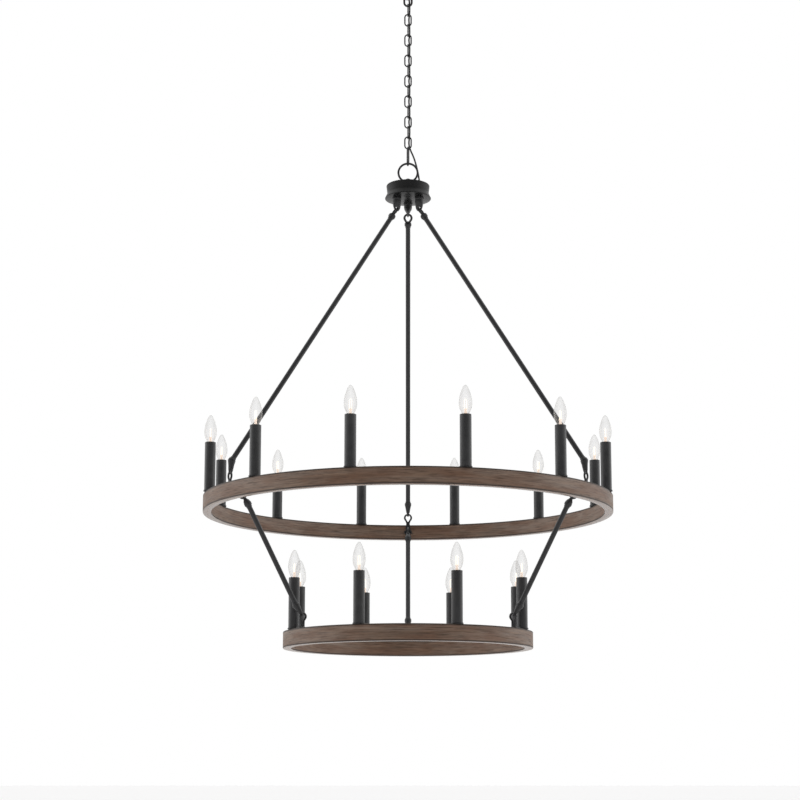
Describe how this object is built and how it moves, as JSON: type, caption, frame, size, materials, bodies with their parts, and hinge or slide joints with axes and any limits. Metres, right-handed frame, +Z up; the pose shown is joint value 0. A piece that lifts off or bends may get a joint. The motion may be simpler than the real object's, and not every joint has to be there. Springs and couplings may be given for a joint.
{
  "type": "two-tier wagon wheel chandelier",
  "caption": "Ceiling chandelier of a large and a small wood ring, one hung below the other on metal rods under a hub and chain, with candle-style lamps round both rings",
  "frame": {"origin": "Middle of the crossbar's two slots, on the ceiling plane.", "axes": "+Z points up into the ceiling, -Y points to the viewer of the picture, +X to the viewer's right."},
  "size_m": [1.0664, 1.0664, 1.826],
  "materials": {
    "black_metal": "satin",
    "wood_rings": "matt, weathered",
    "candle_sleeve": "satin",
    "bulb_glass": "clear",
    "bulb_cap": "satin",
    "socket_plastic": "matt",
    "cord_jacket": "smooth",
    "bushing_plastic": "matt",
    "zinc_steel": "zinc plated",
    "green_steel": "gloss"
  },
  "bodies": {
    "ceiling_mount": {"ceiling_crossbar": "zinc_steel", "ground_screw": "green_steel", "threaded_nipple": "zinc_steel", "lock_nut": "zinc_steel", "canopy_loop": "black_metal", "cord_at_canopy": "cord_jacket"},
    "canopy_cover": {"ceiling_canopy": "black_metal", "canopy_collar": "black_metal"},
    "chain": {"top_link": "black_metal", "chain_links": "black_metal", "long_link": "black_metal", "cord_in_chain": "cord_jacket", "cord_at_hub": "cord_jacket"},
    "fixture": {"cord_bushing": "bushing_plastic", "hanger_ring": "black_metal", "hub_housing": "black_metal", "hub_lug_back": "black_metal", "hub_lug_left": "black_metal", "hub_lug_right": "black_metal", "hub_plate": "black_metal", "lower_bracket_back": "black_metal", "lower_bracket_left": "black_metal", "lower_bracket_right": "black_metal", "lower_bracket_screws": "black_metal", "lower_bulb_caps": "bulb_cap", "lower_bulb_glasses": "bulb_glass", "lower_candle_cups": "black_metal", "lower_candle_sleeves": "candle_sleeve", "lower_lamp_sockets": "socket_plastic", "lower_ring": "wood_rings", "lower_rod_back": "black_metal", "lower_rod_bottom_eye_back": "black_metal", "lower_rod_bottom_eye_left": "black_metal", "lower_rod_bottom_eye_right": "black_metal", "lower_rod_left": "black_metal", "lower_rod_right": "black_metal", "lower_rod_top_eye_back": "black_metal", "lower_rod_top_eye_left": "black_metal", "lower_rod_top_eye_right": "black_metal", "ring_boss": "black_metal", "upper_bracket_back": "black_metal", "upper_bracket_left": "black_metal", "upper_bracket_right": "black_metal", "upper_bracket_screws": "black_metal", "upper_bulb_caps": "bulb_cap", "upper_bulb_glasses": "bulb_glass", "upper_candle_cups": "black_metal", "upper_candle_sleeves": "candle_sleeve", "upper_lamp_sockets": "socket_plastic", "upper_ring": "wood_rings", "upper_rod_back": "black_metal", "upper_rod_bottom_eye_back": "black_metal", "upper_rod_bottom_eye_left": "black_metal", "upper_rod_bottom_eye_right": "black_metal", "upper_rod_left": "black_metal", "upper_rod_right": "black_metal", "upper_rod_top_eye_back": "black_metal", "upper_rod_top_eye_left": "black_metal", "upper_rod_top_eye_right": "black_metal"}
  },
  "joints": [
    {"name": "canopy_drop", "type": "slide", "parent": "ceiling_mount", "child": "canopy_cover", "axis": [0, 0, -1], "range_m": [0, 0.04]},
    {"name": "chain_swing", "type": "hinge", "parent": "ceiling_mount", "child": "chain", "pos_m": [0, 0, -0.06585], "axis": [1, 0, 0], "range_deg": [-10, 10], "deforming": ["cord_at_canopy"]},
    {"name": "fixture_tilt", "type": "hinge", "parent": "chain", "child": "fixture", "pos_m": [0, 0, -0.52155], "axis": [0, 1, 0], "range_deg": [-10, 10], "deforming": ["cord_at_hub"]}
  ]
}
